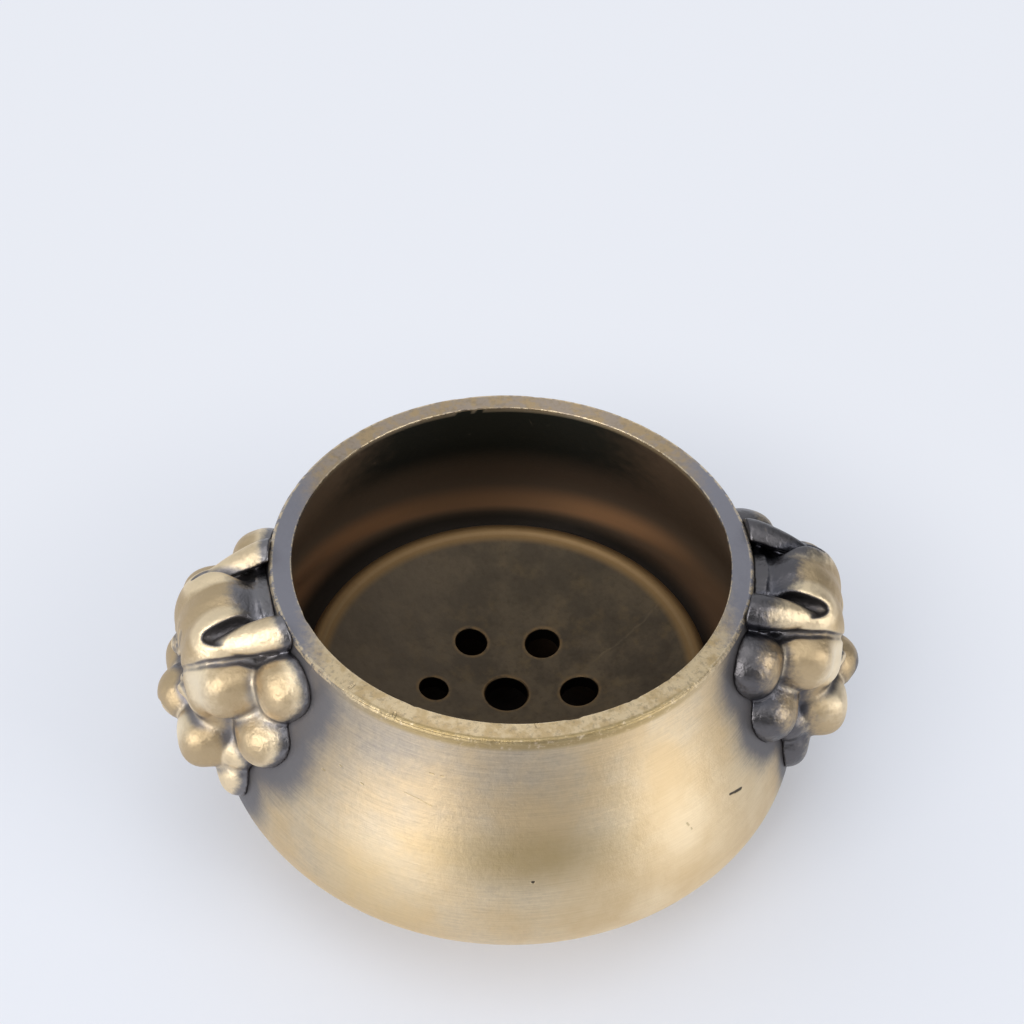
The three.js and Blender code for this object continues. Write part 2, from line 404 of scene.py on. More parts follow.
def bowl_tree():
    """The turned bowl, never quite round, with small dents worn into the edges of its rim."""
    graph, given = geometry_tree("bowl_on_its_foot", {
        "Int": ["Facets"], "Material": ["Material"],
        "Float": ["Unevenness", "Dent depth", "Rim height", "Mouth radius", "Wall"],
    })
    body = turned(graph, given["Geometry"], given["Facets"])
    place = graph.node("GeometryNodeInputPosition")
    x, y, height = graph.parts(place)
    radius = (x * x + y * y).math("SQRT")
    sway = graph.noise(graph.stretch(place, SWAY_PATTERN), 1.0, 1.0, 3.1) - 0.5
    outward = graph.node("ShaderNodeVectorMath", {"operation": "NORMALIZE"}, {0: graph.vector(x, y, 0)})
    across = (radius - given["Mouth radius"]) / given["Wall"] - 0.5
    near_top = height.fade(given["Rim height"] - DENTED_DEPTH * MM, given["Rim height"])
    edge = across.math("ABSOLUTE").fade(0.36, 0.5) * near_top
    dent = graph.noise(graph.stretch(place, DENT_PATTERN), 1.0, 2.0, 8.4).fade(0.56, 0.78) * edge
    inward = 0 - across.math("SIGN")
    push = sway * given["Unevenness"] + dent * inward * given["Dent depth"]
    moved = shifted(graph, body, graph.scaled(outward, push))
    sunk = shifted(graph, moved, graph.vector(0, 0, 0 - dent * given["Dent depth"] * DENT_FALL))
    return end_tree(graph, finished(graph, sunk, given["Material"], BOWL_SHARP_ANGLE))


def plate_tree():
    """The turned plate with its holes, each ring hole smaller than the one before, and its cast legs."""
    graph, given = geometry_tree("plate_with_graded_holes", {
        "Int": ["Plate facets", "Hole facets", "Ring holes", "Legs"],
        "Float": [
            "Ring radius", "Ring turn", "Middle hole", "Largest hole", "Hole step", "Dish low", "Dish curve",
            "Chamfer share", "Leg circle", "Leg turn", "Cutter height",
        ],
        "Object": ["Leg profile"], "Material": ["Material"],
    })
    body = turned(graph, given["Geometry"], given["Plate facets"])
    index = graph.node("GeometryNodeInputIndex")
    is_middle = index.math("LESS_THAN", 0.5)
    on_ring = 1 - is_middle
    angle = (index - 2) * math.tau / given["Ring holes"] + given["Ring turn"]
    reach = on_ring * given["Ring radius"]
    x, y = on_circle(reach, angle)
    sink = (given["Dish curve"] * given["Dish curve"] - reach * reach).math("SQRT")
    surface = given["Dish low"] + given["Dish curve"] - sink
    width = is_middle * given["Middle hole"] + on_ring * (given["Largest hole"] - (index - 1) * given["Hole step"])
    points = graph.node("GeometryNodePoints", sockets={
        "Count": given["Ring holes"] + 1, "Position": graph.vector(x, y, surface),
    })
    bore = graph.node("GeometryNodeMeshCylinder", sockets={
        "Vertices": given["Hole facets"], "Radius": 0.5, "Depth": given["Cutter height"],
    })
    drilled = cut_from(graph, body, instanced(graph, points, bore, Scale=graph.vector(width, width, 1)))
    flare = graph.node("GeometryNodeMeshCone", sockets={
        "Vertices": given["Hole facets"], "Radius Bottom": 0.5, "Radius Top": 0.5 + given["Chamfer share"] * 2,
        "Depth": given["Chamfer share"] * 2,
    })
    lowered = shifted(graph, flare, graph.vector(0, 0, 0 - given["Chamfer share"]))
    lean = graph.node("FunctionNodeAlignRotationToVector", {"axis": "Z"}, {
        "Vector": graph.vector(0 - x, 0 - y, given["Dish curve"]),
    })
    flares = instanced(graph, points, lowered, Rotation=lean, Scale=graph.vector(width, width, width))
    eased = cut_from(graph, drilled, flares)
    leg_angle = index * math.tau / given["Legs"] + given["Leg turn"]
    stands = graph.node("GeometryNodePoints", sockets={
        "Count": given["Legs"], "Position": graph.vector(*on_circle(given["Leg circle"], leg_angle), 0),
    })
    outline = graph.node("GeometryNodeObjectInfo", sockets={0: given["Leg profile"]}, output="Geometry")
    legs = realized(graph, instanced(graph, stands, turned(graph, outline, given["Hole facets"])))
    both = {"Mesh 2": [eased, legs]}
    whole = graph.node("GeometryNodeMeshBoolean", {"operation": "UNION", "solver": "EXACT"}, both)
    return end_tree(graph, finished(graph, whole, given["Material"], PLATE_SHARP_ANGLE))


def points_object(name, profile):
    mesh = bpy.data.meshes.new(name)
    mesh.from_pydata([(radius * MM, 0, height * MM) for radius, height in profile], [], [])
    return placed(name, mesh)


def grown(name, profile, tree, values):
    """A plain mesh object that a geometry tree grows from a profile."""
    source = points_object(name + "_profile", profile)
    modifier = source.modifiers.new("grow", "NODES")
    modifier.node_group = tree
    for item in tree.interface.items_tree:
        if item.in_out == "INPUT" and item.name in values:
            modifier[item.identifier] = values[item.name]
    bpy.context.view_layer.update()
    evaluated = source.evaluated_get(bpy.context.evaluated_depsgraph_get())
    mesh = bpy.data.meshes.new_from_object(evaluated)
    mesh.name = name
    source.modifiers.remove(modifier)
    bpy.data.objects.remove(source)
    return placed(name, mesh)


# Lion masks. Places and half sizes are shares: outwards of the mask's reach counted from the bowl's wall,
# sideways of its half width, down from the rim of its height. Then come, where a lobe needs them, its turns
# in degrees about those axes, how square it is, with 2 for round, and how much it narrows outwards.
ROUND, FULL = 2, 2.5
LEVEL = (0, 0, 0)
HEAD_LOBES = {
    "skull": ((0.28, 0, 0.23), (0.39, 0.34, 0.26), (0, -14, 0)),
    "brow": ((0.36, 0.27, 0.23), (0.32, 0.31, 0.25), (0, -14, 0)),
    "core": ((-0.11, 0, 0.42), (0.50, 0.68, 0.38)),
    "jaw": ((-0.17, 0, 0.72), (0.42, 0.64, 0.25), LEVEL, FULL),
    "filling": ((0.10, 0.30, 0.53), (0.30, 0.34, 0.17), LEVEL, FULL),
    "eye": ((0.485, 0.25, 0.408), (0.125, 0.12, 0.062)),
    "nose": ((0.37, 0, 0.59), (0.26, 0.28, 0.13)),
    "muzzle": ((0.27, 0.46, 0.65), (0.245, 0.28, 0.138), LEVEL, FULL),
    "cheek": ((0.31, 0.54, 0.285), (0.285, 0.27, 0.15), LEVEL, FULL),
    "cheek_front": ((0.41, 0.40, 0.39), (0.17, 0.20, 0.10), LEVEL, FULL),
    "side_curl": ((-0.11, 0.69, 0.275), (0.29, 0.32, 0.23), (-38, 14, 0), FULL),
    "mane_curl": ((-0.10, 0.80, 0.50), (0.34, 0.33, 0.15), (-20, 0, 0), FULL),
    "mane_tip": ((0.035, 0.67, 0.67), (0.16, 0.18, 0.088)),
    "beard_curl": ((-0.06, 0.62, 0.835), (0.22, 0.25, 0.115), LEVEL, FULL),
    "chin": ((0.06, 0, 0.82), (0.22, 0.28, 0.10)),
    "beard": ((-0.02, 0, 0.945), (0.19, 0.255, 0.10)),
}
# The wall of the casting behind the lobes, as far as it stands on the bowl.
BACK_LOBES = {
    "upper": ((0, 0, 0.39), (0.80, 0.86, 0.38)),
    "lower": ((0, 0, 0.66), (0.80, 0.66, 0.32)),
}
EAR_GROOVE = ((0.26, 0.385, 0.028), (0.36, 0.12, 0.068), (-50, 10, -4))
EAR = ((0.18, 0.45, 0.06), (0.37, 0.155, 0.08), (-50, 12, -8), FULL, 0.33)
EAR_UNDERSIDE = 0.25
# Creases run over the surface through places like those of the lobes. Then comes the radius in millimetres.
CREASES = {
    "under_brow": (((0.66, 0.22, 0.33), (0.60, 0.38, 0.20), (0.44, 0.52, 0.13), (0.10, 0.66, 0.11)), 0.18),
    "over_eye": (((0.70, 0.10, 0.40), (0.70, 0.27, 0.335), (0.60, 0.42, 0.38), (0.5, 0.52, 0.44)), 0.22),
    "under_eye": (((0.60, 0.14, 0.445), (0.60, 0.26, 0.475), (0.52, 0.40, 0.455)), 0.16),
    "frown": (((0.70, 0.06, 0.16), (0.70, 0.07, 0.30), (0.66, 0.10, 0.40)), 0.16),
    "mouth": (((0.50, 0.02, 0.735), (0.46, 0.25, 0.765), (0.34, 0.46, 0.775)), 0.24),
    "lip": (((0.66, 0.02, 0.66), (0.56, 0.02, 0.73)), 0.16),
    "nostril": (((0.66, 0.10, 0.615), (0.60, 0.17, 0.63)), 0.26),
    "beard_left": (((0.30, 0.10, 0.80), (0.24, 0.09, 0.90), (0.14, 0.06, 1.0)), 0.16),
    "beard_right": (((0.24, 0.22, 0.82), (0.18, 0.18, 0.92)), 0.14),
}
CREASE_BLEND = 0.45
CREASE_STEPS = 8
LOBE_BLEND = 0.32
GROOVE_BLEND = 0.6
EAR_BLEND = 0.1
SEAT_BLEND = 0.08


def in_mask(place, side):
    """A place given in shares, in the mask's own frame, where it looks along X."""
    aside = place[1] * MASK_HALF_WIDTH
    height = RIM_HEIGHT - place[2] * MASK_HEIGHT
    wall = math.sqrt(float(wall_radius(height)) ** 2 - aside ** 2)
    return np.array([wall + place[0] * MASK_REACH, aside * side, height])


def lobe_pair(place, size, turn=LEVEL, squareness=ROUND, taper=0):
    """A lobe in the mask's own frame, and its twin if it isn't in the middle."""
    halves = np.array(size) * (MASK_REACH, MASK_HALF_WIDTH, MASK_HEIGHT)
    pair = []
    for side in ((1, -1) if place[1] else (1,)):
        turns = [math.radians(angle) for angle in (turn[0] * side, turn[1], turn[2] * side)]
        about = [Matrix.Rotation(angle, 3, axis) for angle, axis in zip(turns, "XYZ")]
        axes = np.array(about[2] @ about[1] @ about[0])
        pair.append((in_mask(place, side), halves, axes, squareness, taper))
    return pair


def lobe_distance(points, lobe):
    centre, halves, axes, squareness, taper = lobe
    local = np.abs((points - centre) @ axes)
    if taper:
        along = ((points - centre) @ axes[:, 0]) / halves[0]
        local[:, 1:] /= np.clip(1 - taper * along, 0.3, 2)[:, None]
    shares = local / halves
    near = (shares ** squareness).sum(1) ** (1 / squareness)
    steep = np.sqrt(((shares ** (squareness - 1) / halves) ** 2).sum(1)) / np.maximum(near, 1e-9) ** (squareness - 1)
    return (near - 1) / np.maximum(steep, 1e-9)


def ear_distance(points, ear):
    """An ear is a leaf with a flat underside."""
    centre, halves, axes, *_ = ear
    below = -((points - centre) @ axes[:, 2]) - halves[2] * EAR_UNDERSIDE
    return np.maximum(lobe_distance(points, ear), below)


def joined(distances, blend):
    total = sum(np.exp(-np.clip(one / blend, -40, 40)) for one in distances)
    return -blend * np.log(np.maximum(total, 1e-30))


def cut_out(distance, cutter, blend):
    share = np.clip(0.5 + 0.5 * (-cutter - distance) / blend, 0, 1)
    return distance + (-cutter - distance) * share + blend * share * (1 - share)


def bowl_distance(points):
    """Distance outwards from the bowl's outside wall."""
    height = points[:, 2]
    slope = (wall_radius(height + 0.05) - wall_radius(height - 0.05)) / 0.1
    return (np.hypot(points[:, 0], points[:, 1]) - wall_radius(height)) / np.sqrt(1 + slope ** 2)


HEAD = [lobe for shares in HEAD_LOBES.values() for lobe in lobe_pair(*shares)]
BACK = [lobe for shares in BACK_LOBES.values() for lobe in lobe_pair(*shares)]
GROOVES = lobe_pair(*EAR_GROOVE)
EARS = lobe_pair(*EAR)


def uncut_distance(points):
    """Signed distance from the surface of the right-hand mask before its creases and ears."""
    from_bowl = bowl_distance(points)
    back = joined([lobe_distance(points, lobe) for lobe in BACK], LOBE_BLEND)
    back = np.maximum(back, from_bowl - MASK_SEAT - MASK_WALL)
    distance = joined([back, *(lobe_distance(points, lobe) for lobe in HEAD)], LOBE_BLEND)
    for groove in GROOVES:
        distance = cut_out(distance, lobe_distance(points, groove), GROOVE_BLEND)
    return distance


def crease_paths():
    """Pairs of neighbouring points along each crease, laid on the surface, and its radius."""
    found = []
    for places, radius in CREASES.values():
        for side in (1, -1):
            corners = np.array([in_mask(place, side) for place in places])
            spots = np.linspace(0, len(corners) - 1, CREASE_STEPS + 1)
            path = np.stack([np.interp(spots, range(len(corners)), corners[:, axis]) for axis in range(3)], 1)
            path = settled(uncut_distance, path, 0.5, 12)
            found.extend((start, end, radius) for start, end in zip(path, path[1:]))
    return found


def line_distance(points, start, end):
    along = end - start
    share = np.clip((points - start) @ along / (along @ along), 0, 1)
    return np.linalg.norm(points - start - share[:, None] * along, axis=1)


def mask_distance(points):
    """Signed distance from the surface of the right-hand mask, in its own frame, with the bowl cut out of it."""
    distance = uncut_distance(points)
    crease = np.min([line_distance(points, start, end) - radius for start, end, radius in PATHS], axis=0)
    distance = cut_out(distance, crease, CREASE_BLEND)
    distance = joined([distance, *(ear_distance(points, ear) for ear in EARS)], EAR_BLEND)
    return cut_out(distance, bowl_distance(points) - MASK_SEAT, SEAT_BLEND)


def surface_net(distance, low, high, cell):
    """Points and quads of the surface where a distance is 0: one point in each cell that the surface crosses."""
    counts = np.ceil((high - low) / cell).astype(int) + 1
    axes = [low[axis] + cell * np.arange(counts[axis]) for axis in range(3)]
    values = np.empty(counts)
    for layer, x in enumerate(axes[0]):
        points = np.stack(np.meshgrid([x], axes[1], axes[2], indexing="ij"), -1).reshape(-1, 3)
        values[layer] = distance(points).reshape(counts[1], counts[2])
    cells, crossings, quads = [], [], []
    for axis in range(3):
        second, third = (axis + 1) % 3, (axis + 2) % 3
        near = values.take(range(counts[axis] - 1), axis)
        far = values.take(range(1, counts[axis]), axis)
        found = np.argwhere((near < 0) != (far < 0))
        near, far = near[tuple(found.T)], far[tuple(found.T)]
        place = found.astype(float)
        place[:, axis] += near / (near - far)
        ring = []
        for back_second, back_third in ((0, 0), (1, 0), (1, 1), (0, 1)):
            cell_at = found.copy()
            cell_at[:, second] -= back_second
            cell_at[:, third] -= back_third
            ring.append(np.ravel_multi_index(cell_at.T, counts))
            crossings.append(place)
        cells.extend(ring)
        ring = np.stack(ring, 1)
        ring[near > 0] = ring[near > 0][:, ::-1]
        quads.append(ring)
    numbers, order = np.unique(np.concatenate(cells), return_inverse=True)
    crossings = np.concatenate(crossings)
    shares = np.bincount(order)
    points = np.stack([np.bincount(order, weights=crossings[:, axis]) / shares for axis in range(3)], 1)
    return low + cell * points, np.searchsorted(numbers, np.concatenate(quads))


def slopes(distance, points, reach=0.02):
    steps = np.eye(3) * reach
    found = np.stack([distance(points + step) - distance(points - step) for step in steps], 1)
    return found / (2 * reach)


def settled(distance, points, cell, rounds=3):
    """Points moved onto the surface."""
    for _ in range(rounds):
        slope = slopes(distance, points)
        step = distance(points)[:, None] * slope / np.maximum((slope ** 2).sum(1), 0.05)[:, None]
        points = points - np.clip(step, -cell, cell)
    return points


PATHS = crease_paths()


def mesh_object(name, points, faces, material):
    mesh = bpy.data.meshes.new(name)
    mesh.from_pydata((points * MM).tolist(), [], faces.tolist())
    mesh.polygons.foreach_set("use_smooth", [True] * len(mesh.polygons))
    mesh.materials.append(material)
    return placed(name, mesh)


def store(mesh, name, values):
    attribute = mesh.attributes.new(name, "FLOAT", "POINT")
    attribute.data.foreach_set("value", np.asarray(values, np.float32))


def mesh_points(mesh):
    found = np.empty(len(mesh.vertices) * 3)
    mesh.vertices.foreach_get("co", found)
    return found.reshape(-1, 3) / MM


def sheltered(distance, points, normals, reaches=(0.35, 0.8, 1.6, 3.0)):
    """How far each point is closed in by its surroundings, from 0 in the open to 1 in a deep hollow."""
    total = 0
    for reach in reaches:
        total = total + 1 - np.clip(distance(points + normals * reach) / reach, 0, 1)
    return total / len(reaches)


# Finishes. Positions in a finish are in millimetres.

class Finish(Graph):
    """A metal finish that reads Object coordinates and the attributes of its piece."""

    def __init__(self, name):
        self.material = bpy.data.materials.new(name)
        super().__init__(empty_tree(self.material))
        found = self.node("ShaderNodeTexCoord", output="Object")
        self.place = self.stretch(found, (1 / MM, 1 / MM, 1 / MM))
        self.x, self.y, self.z = self.parts(self.place)
        self.radius = (self.x * self.x + self.y * self.y).math("SQRT")

    def attribute(self, name):
        return self.node("ShaderNodeAttribute", {"attribute_name": name}, output="Fac")

    def layered(self, colour, *layers):
        """A colour with others over it, each by its own share."""
        for share, over in layers:
            colour = self.mix(share, colour, over)
        return colour

    def specks(self, scale, size, share, seed):
        """Round specks in some of the cells of a pattern."""
        moved = self.vectors("ADD", self.place, (seed, seed, seed))
        cells = self.node("ShaderNodeTexVoronoi", {"feature": "F1"}, {"Vector": moved, "Scale": scale})
        chosen = self.node("ShaderNodeSeparateColor", sockets={0: cells.output("Color")})
        return cells.output("Distance").fade(size, size * SOFT_EDGE) * chosen.fade(1 - share, 1 - share * 0.8)

    def strokes(self, lines):
        """1 on short straight lines, fading out over their radii."""
        total = None
        for start, end, size in lines:
            along = np.subtract(end, start)
            reach = tuple(along / (along @ along))
            offset = self.vectors("SUBTRACT", self.place, start)
            share = self.dot(offset, reach).math("MAXIMUM", 0.0).math("MINIMUM", 1.0)
            away = self.distance(offset, self.scaled(tuple(along), share))
            one = away.fade(size, size * SOFT_EDGE)
            total = one if total is None else total.math("MAXIMUM", one)
        return total

    def end(self, colour, roughness, metallic, heights, **constants):
        """heights are (height in mm, depth of the relief in mm) pairs, laid over each other."""
        normal = None
        for height, depth in heights:
            sockets = {"Height": height, "Distance": depth * MM, "Strength": 1.0}
            if normal is not None:
                sockets["Normal"] = normal
            normal = self.node("ShaderNodeBump", sockets=sockets)
        shader = self.node("ShaderNodeBsdfPrincipled", sockets={
            "Base Color": colour, "Roughness": roughness, "Metallic": metallic, "Normal": normal, **constants,
        })
        self.node("ShaderNodeOutputMaterial", sockets={"Surface": shader})
        return self.material


# How much of a mark's width is solid, before it fades out.
SOFT_EDGE = 0.4

GOLD = (0.75, 0.57, 0.335)
PALE_GOLD = (0.87, 0.71, 0.475)
CREAM_GOLD = (0.96, 0.83, 0.61)
DEEP_GOLD = (0.56, 0.39, 0.18)
SLATE = (0.195, 0.192, 0.208)
SOOT = (0.025, 0.022, 0.022)
UMBER = (0.145, 0.095, 0.060)
LIGHT_UMBER = (0.29, 0.20, 0.128)
GREEN_BLACK = (0.017, 0.018, 0.013)
BLACK_BROWN = (0.045, 0.034, 0.024)
HOLE_BLACK = (0.016, 0.012, 0.009)
# orange of the painted glow inside the bowl
GLOW_ORANGE = (0.66, 0.34, 0.16)
WORN_GREY = (0.24, 0.20, 0.15)
DEEP_SLATE = (0.10, 0.10, 0.115)
MID_SLATE = (0.20, 0.195, 0.21)
DARK_SLATE = (0.085, 0.085, 0.098)
DULL_BRASS = (0.152, 0.113, 0.071)
DARK_BRASS = (0.094, 0.071, 0.048)
DIRT_BROWN = (0.06, 0.04, 0.025)
SHADED_BACK_BRASS = (0.066, 0.053, 0.036)
LIT_LEFT_BRASS = (0.17, 0.13, 0.09)
GOLDEN_BROWN = (0.23, 0.155, 0.07)
LIP_BRASS = (0.30, 0.185, 0.080)
OLIVE_GOLD = (0.53, 0.39, 0.19)
YELLOW_BROWN = (0.40, 0.29, 0.12)
RIM_GOLD = (0.80, 0.63, 0.39)
RIM_BROWN = (0.34, 0.265, 0.18)
RIM_BEIGE = (0.45, 0.365, 0.285)
RIM_GREY = (0.32, 0.31, 0.34)
TAN_BRASS = (0.54, 0.41, 0.245)


def bowl_finish():
    """Satin brass brushed round the belly, grey where the polish didn't reach, with painted reflections and shade on
    the belly and rim, dark brown inside with painted glow, light and shade.
    """
    metal = Finish("bowl_satin_brass")
    near, inside, rim, edge = (metal.attribute(name) for name in ("near_mask", "inside", "rim_top", "rim_edge"))
    brushing = metal.noise(metal.stretch(metal.place, (0.35, 0.35, 9.0)), 1.0, 5.0, 1.3, 0.7)
    grain = metal.noise(metal.place, 2.6, 4.0, 5.2, 0.6)
    cloud = metal.noise(metal.place, 0.16, 3.0, 7.7)
    mottle = metal.noise(metal.place, 0.9, 3.0, 2.9)
    chips = metal.noise(metal.place, 1.7, 3.0, 12.1, 0.7)
    patchy = (cloud - 0.5) * 0.45 + (brushing - 0.5) * 0.20 + (grain - 0.5) * 0.15
    patina = (near + patchy * near.fade(0.0, 0.3)).fade(0.20, 0.76)
    # an olive stain on the front of the belly, painted darker to deepen the dark reflection there
    around = metal.stretch(metal.place, tuple(1 / half for half in STAIN_AND_SHADE_HALVES))
    stain_and_shade_centre = tuple(at / half for at, half in zip(STAIN_AND_SHADE_CENTRE, STAIN_AND_SHADE_HALVES))
    stain_and_shade = metal.distance(around, stain_and_shade_centre).fade(1.0, 0.1)
    # painted shade: darker olive low on the left of the belly
    low_painted_shade = metal.distance(metal.place, LOW_PAINTED_SHADE_CENTRE).fade(9.0, 2.0)
    scratches = metal.strokes(SCRATCHES)
    marks = metal.strokes(NICKS)
    # painted reflection: a yellow-brown band along the front of the rim's outer edge
    painted_rim_edge_reflection = metal.z.fade(28.4, 28.9) * metal.radius.fade(20.5, 20.75) * metal.y.fade(-13.0, -19.0)
    top = metal.layered(
        RIM_GOLD,
        # painted reflection: the rim's flat top dims from gold at the front to beige at the back
        (metal.y.fade(-6.0, 6.0), RIM_BEIGE),
        (mottle.fade(0.42, 0.62) * 0.6, DEEP_GOLD),
        (grain.fade(0.50, 0.66) * 0.45, RIM_BROWN),
        ((metal.x.math("ABSOLUTE") + (grain - 0.5) * 2.5).fade(15.5, 19.0), RIM_GREY),
    )
    outside = metal.layered(
        GOLD,
        (cloud.fade(0.35, 0.68), PALE_GOLD),
        (brushing.fade(0.35, 0.72) * 0.22, DEEP_GOLD),
        (patina * 0.94, SLATE),
        (stain_and_shade * (0.55 + mottle * 0.4), OLIVE_GOLD),
        (low_painted_shade * 0.4, OLIVE_GOLD),
        (scratches * 0.45, YELLOW_BROWN),
        (marks * 0.9, SOOT),
        (rim, top),
        (edge * chips.fade(0.40, 0.56) * 0.8, PALE_GOLD),
        (painted_rim_edge_reflection * grain.fade(0.28, 0.46) * 0.75, YELLOW_BROWN),
    )
    behind = metal.y / metal.radius
    # painted light: the inside wall lighter low down and towards the left
    painted_light_low_left = metal.x.fade(6.0, -14.0) * 0.45 + metal.z.fade(17.5, 14.0) * 0.42
    # painted glow: orange light reflected low on the sides and front of the inside wall, and in a band at the back
    # just above the plate
    side_glow = metal.z.fade(14.0, 10.0) * behind.fade(1.0, 0.5) * (0.8 - metal.x.fade(-4.0, 10.0) * 0.5)
    glow = metal.z.fade(10.0, 11.4) * metal.z.fade(15.2, 12.0) * behind.fade(0.5, 0.86)
    scuffs = metal.specks(0.55, 0.16, 0.4, 9.0) * grain.fade(0.45, 0.6)
    scuffs = scuffs.math("MAXIMUM", metal.strokes(WALL_SCRATCH) * grain.fade(0.3, 0.55))
    wall = metal.layered(
        UMBER,
        (painted_light_low_left, LIGHT_UMBER),
        (side_glow, GLOW_ORANGE),
        (glow * (1 - behind.fade(0.9, 1.0) * 0.35), GLOW_ORANGE),
        # painted dark reflection high on the back of the inside wall
        (metal.z.fade(16.5, 23.0) * (behind + (mottle - 0.5) * 0.2).fade(0.6, 0.9), GREEN_BLACK),
        (scuffs * 0.35, WORN_GREY),
        # painted shade low in the bowl under the plate, reaching higher at the back, and near-black on the bowl's
        # floor
        ((metal.z - behind * 4.4).fade(6.9, 5.3), BLACK_BROWN),
        (metal.z.fade(5.6, 4.6), HOLE_BLACK),
    )
    colour = metal.mix(inside, outside, wall)
    rough = 0.38 + grain * 0.10 + patina * 0.04 - inside * 0.06
    relief = [
        (brushing, 0.010), (grain, 0.022), (mottle * rim + mottle * 0.3, 0.06),
        (chips * (rim + edge), 0.05), (marks * -1 - scratches * 0.3, 0.06),
    ]
    return metal.end(colour, rough, 1 - inside * 0.5, relief, **BRUSHED_ROUND)


def mask_finish():
    """Cast brass, worn bright on the high parts and with painted highlights, slate grey beside the bowl, darker still
    in the hollows, the right mask's slate painted darker as dark reflection.
    """
    metal = Finish("mask_rubbed_brass")
    hollow, raised, grey, rubbed = (
        metal.attribute(name) for name in ("hollow", "raised", "unpolished", "rubbed")
    )
    grain = metal.noise(metal.place, 2.6, 5.0, 6.1, 0.65)
    mottle = metal.noise(metal.place, 0.6, 3.0, 3.3)
    uneven = (grain - 0.5) * 0.45 + (mottle - 0.5) * 0.5
    on_right = metal.x.fade(-5.0, 5.0)
    colour = metal.layered(
        TAN_BRASS,
        # worn high parts and painted highlights in pale gold, the painted highlights brightest in cream
        ((raised.math("MAXIMUM", rubbed) + uneven).fade(0.15, 1.05), PALE_GOLD),
        ((rubbed + uneven * 0.5).fade(0.3, 0.85) * 0.85, CREAM_GOLD),
        # slate patina beside the bowl and in the hollows; on the right mask both are painted darker, standing in for
        # its dark reflection
        ((grey + uneven * 0.7).fade(0.24, 0.60) * 0.95, metal.mix(on_right, SLATE, DEEP_SLATE)),
        ((hollow + uneven * 0.4).fade(0.14, 0.52) * 0.92, metal.mix(on_right, MID_SLATE, DARK_SLATE)),
    )
    rough = 0.42 + grain * 0.14 - grey.fade(0.2, 0.7) * 0.16
    return metal.end(colour, rough, 1.0, [(mottle, 0.22), (grain, 0.05)])


def plate_finish():
    """Dull brown brass, bright on its rounded lip and worn in a ring round each hole, with painted shade at the back
    and in the holes, painted light on the left and a painted highlight along the lip.
    """
    metal = Finish("plate_dull_brass")
    grain = metal.noise(metal.place, 1.8, 4.0, 4.4, 0.6)
    cloud = metal.noise(metal.place, 0.25, 4.0, 8.8, 0.6)
    blotch = metal.noise(metal.place, 0.5, 5.0, 14.6, 0.68).fade(0.48, 0.72)
    flat = metal.stretch(metal.place, (1, 1, 0))
    from_hole = None
    for x, y, radius in hole_places():
        away = metal.distance(flat, (x, y, 0)) - radius
        from_hole = away if from_hole is None else from_hole.math("MINIMUM", away)
    lip = metal.radius.fade(DISH_EDGE - 1.0, DISH_EDGE - 0.2)
    # painted highlight: a thin bright line along the inner edge of the lip
    painted_lip_highlight = (metal.radius - DISH_EDGE).math("ABSOLUTE").fade(0.25, 0.05)
    slant = (metal.x * 0.56 - metal.y * 0.83 - 2.6 + (cloud - 0.5) * 1.6).math("ABSOLUTE").fade(0.2, 0.0)
    scratch = slant * metal.x.fade(7.5, 9.5) * metal.x.fade(16.0, 13.0)
    broken = grain.fade(0.3, 0.6)
    colour = metal.layered(
        DARK_BRASS,
        (cloud.fade(0.38, 0.62), DULL_BRASS),
        (blotch * 0.35, GOLDEN_BROWN),
        (grain.fade(0.48, 0.72) * 0.25, DIRT_BROWN),
        # painted shade: the plate darker towards the back
        (metal.y.fade(0.0, 14.0) * 0.45, SHADED_BACK_BRASS),
        # painted light: the plate lighter towards the left
        (metal.x.fade(2.0, -12.0) * 0.5, LIT_LEFT_BRASS),
        (lip * 0.9, LIP_BRASS),
        (painted_lip_highlight * 0.1, GOLD),
        (from_hole.fade(0.45, 0.1) * broken * 0.6, LIP_BRASS),
        (scratch * broken * 0.07, GOLD),
        # painted shade in the bores of the holes
        (from_hole.fade(0.05, 0.01), HOLE_BLACK),
    )
    rough = 0.46 + grain * 0.14 + lip * 0.12
    return metal.end(colour, rough, 0.9, [(cloud, 0.06), (grain, 0.02)])


def hole_places():
    """(x, y, radius) of the middle hole and of the ring of holes."""
    found = [(0.0, 0.0, MIDDLE_HOLE / 2)]
    for index in range(HOLE_COUNT):
        angle = math.radians((index - 1) * 360 / HOLE_COUNT + HOLE_TURN)
        radius = (LARGEST_HOLE - HOLE_STEP * index) / 2
        found.append((HOLE_RING_RADIUS * math.cos(angle), HOLE_RING_RADIUS * math.sin(angle), radius))
    return found


BRUSHED_ROUND = {"Anisotropic": 0.75, "Anisotropic Rotation": 0.25}
# An olive stain on the front of the belly, painted darker to deepen the dark reflection there, and a fainter painted
# shade low on its left.
STAIN_AND_SHADE_CENTRE = (-0.8, -24.7, 19.0)
STAIN_AND_SHADE_HALVES = (12, 12, 3.8)
LOW_PAINTED_SHADE_CENTRE = (-13.0, -21.5, 11.5)
